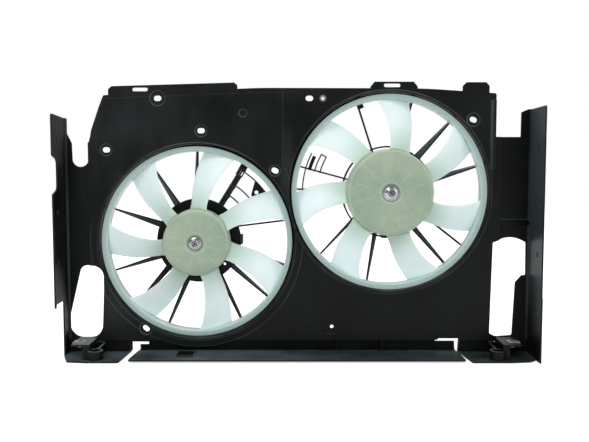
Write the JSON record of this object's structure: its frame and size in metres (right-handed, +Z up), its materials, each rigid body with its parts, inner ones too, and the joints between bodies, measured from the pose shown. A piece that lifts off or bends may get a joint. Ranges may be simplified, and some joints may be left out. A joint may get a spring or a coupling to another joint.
{
  "type": "radiator cooling fan module",
  "caption": "Twin radiator cooling fan module: moulded shroud with two motor-driven ring fans of unequal hub size, side wings, bottom flange and clip nuts.",
  "frame": {"origin": "midway between the threads of the two lower clip nuts, at the middle of the threaded collars", "axes": "+X along the module to the right as seen from the radiator side, +Y back from the radiator towards the engine along the fan axes, +Z up"},
  "size_m": [0.748, 0.135, 0.4361],
  "materials": {
    "shroud_plastic": "black glass-filled polypropylene, satin moulded face",
    "fan_nylon": "natural milky nylon, smooth",
    "zinc_yellow": "yellow passivated spring steel",
    "bright_steel": "zinc plated steel",
    "motor_steel": "black passivated deep drawn steel",
    "insert_brass": "plated brass",
    "bronze": "sintered bronze, oiled",
    "ferrite": "sintered ferrite",
    "lamination_steel": "stacked steel sheet",
    "copper": "enamelled copper wire",
    "carbon": "pressed graphite",
    "card_plastic": "phenolic board",
    "connector_plastic": "moulded black nylon"
  },
  "bodies": {
    "shroud": {"shroud": "shroud_plastic", "clip_nuts": "zinc_yellow", "threaded_insert": "insert_brass", "left_motor_can": "motor_steel", "left_motor_end_plate": "motor_steel", "left_motor_bracket": "motor_steel", "left_motor_screws": "bright_steel", "left_magnets": "ferrite", "left_front_bush": "bronze", "left_rear_bush": "bronze", "left_brush_card": "card_plastic", "left_brushes": "carbon", "left_brush_springs": "bright_steel", "left_connector": "connector_plastic", "left_terminals": "copper", "right_motor_can": "motor_steel", "right_motor_end_plate": "motor_steel", "right_motor_bracket": "motor_steel", "right_motor_screws": "bright_steel", "right_magnets": "ferrite", "right_front_bush": "bronze", "right_rear_bush": "bronze", "right_brush_card": "card_plastic", "right_brushes": "carbon", "right_brush_springs": "bright_steel", "right_connector": "connector_plastic", "right_terminals": "copper"},
    "left_rotor": {"left_fan": "fan_nylon", "left_fan_nut": "bright_steel", "left_fan_washer": "bright_steel", "left_shaft": "bright_steel", "left_armature_core": "lamination_steel", "left_windings": "copper", "left_commutator": "copper"},
    "right_rotor": {"right_fan": "fan_nylon", "right_fan_nut": "bright_steel", "right_fan_washer": "bright_steel", "right_shaft": "bright_steel", "right_armature_core": "lamination_steel", "right_windings": "copper", "right_commutator": "copper"}
  },
  "joints": [
    {"name": "left_fan_spin", "type": "hinge", "parent": "shroud", "child": "left_rotor", "pos_m": [-0.16, 0.045, 0.161], "axis": [0, 1, 0], "continuous": true},
    {"name": "right_fan_spin", "type": "hinge", "parent": "shroud", "child": "right_rotor", "pos_m": [0.149, 0.045, 0.2405], "axis": [0, 1, 0], "continuous": true}
  ]
}
